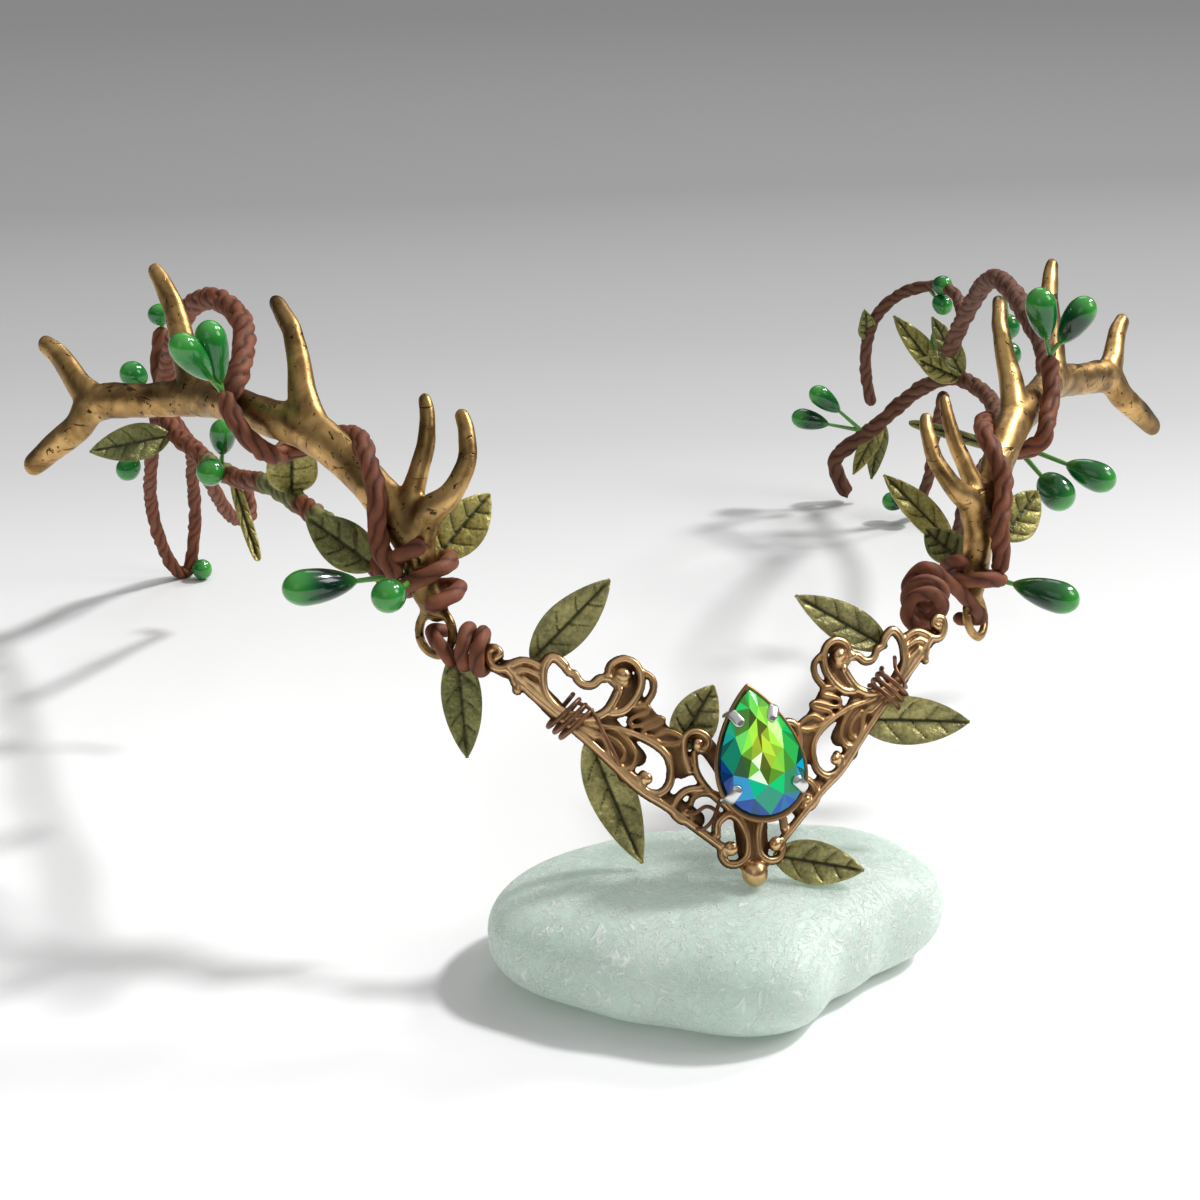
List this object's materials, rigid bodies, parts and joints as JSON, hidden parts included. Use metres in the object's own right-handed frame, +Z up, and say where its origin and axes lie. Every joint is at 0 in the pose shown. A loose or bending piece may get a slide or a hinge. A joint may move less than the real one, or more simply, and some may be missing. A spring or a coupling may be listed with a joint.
{
  "type": "woodland antler crown on a display stone",
  "caption": "Open-backed woodland crown with cast antlers, a pear stone in metal filigree, twisted vines, leaves and buds, resting on a frosted glass display stone.",
  "frame": {"origin": "on the display stone's flat base, in the crown's mirror plane", "axes": "+Z up, the crown's front and its pear stone towards -Y, the open back towards +Y"},
  "size_m": [0.199, 0.2358, 0.0876],
  "materials": {
    "frosted_glass": "tumbled and frosted, with fine swirly scratches",
    "antique_copper": "antiqued copper gold, dark in the recesses and bright on the wires",
    "prong_silver": "bright silver",
    "cut_crystal": "faceted, shading from yellow-green to blue",
    "antique_brass": "antiqued cast brass, pitted and worn bright on its ridges",
    "binding_wire": "dark enamelled copper wire",
    "vine_clay": "matte baked clay over a wire core",
    "leaf_clay": "textured baked clay brushed with gold",
    "bud_gloss": "glossy varnish over green clay"
  },
  "bodies": {
    "root": {"display_stone": "frosted_glass", "filigree_front": "antique_copper", "stone_setting": "prong_silver", "teardrop_stone": "cut_crystal", "antler_left": "antique_brass", "binding_left": "binding_wire", "antler_right": "antique_brass", "binding_right": "binding_wire", "base_wrap_left": "vine_clay", "base_wrap_right": "vine_clay", "coil_left": "vine_clay", "coil_right": "vine_clay", "vine_band_left": "vine_clay", "arch_vine_left": "vine_clay", "floor_loop_left": "vine_clay", "tendril_left": "vine_clay", "vine_band_right": "vine_clay", "arch_vine_right": "vine_clay", "back_arch_right": "vine_clay", "drop_right": "vine_clay", "climb_vine_left": "vine_clay", "climb_vine_right": "vine_clay", "sprig_stem_left": "bud_gloss", "sprig_end_left": "bud_gloss", "sprig_top_left": "bud_gloss", "sprig_band_left": "bud_gloss", "sprig_far_left": "bud_gloss", "berry_top_left": "bud_gloss", "berry_low_left": "bud_gloss", "berry_floor_left": "bud_gloss", "sprig_stem_right": "bud_gloss", "sprig_top_right": "bud_gloss", "sprig_side_right": "bud_gloss", "sprig_arch_right": "bud_gloss", "sprig_back_arch": "bud_gloss", "sprig_back_right": "bud_gloss", "sprig_end_right": "bud_gloss", "berries_floor_right": "bud_gloss", "leaf_antler_left": "leaf_clay", "leaf_stem_left": "leaf_clay", "leaf_fork_left": "leaf_clay", "leaf_far_left": "leaf_clay", "leaf_strap_left": "leaf_clay", "leaf_coil_left": "leaf_clay", "leaf_fork_right": "leaf_clay", "leaf_stem_right": "leaf_clay", "leaf_beam_right": "leaf_clay", "leaf_strap_right": "leaf_clay", "leaf_upper_right": "leaf_clay", "leaf_tall_right": "leaf_clay", "leaf_inner_right": "leaf_clay", "leaf_arch_right": "leaf_clay", "leaf_hang_right": "leaf_clay", "leaf_hang_back": "leaf_clay", "leaf_front_left": "leaf_clay", "leaf_low_left": "leaf_clay", "leaf_behind_stone": "leaf_clay", "leaf_front_right": "leaf_clay", "leaf_low_right": "leaf_clay", "leaf_tip_right": "leaf_clay"}
  },
  "joints": []
}
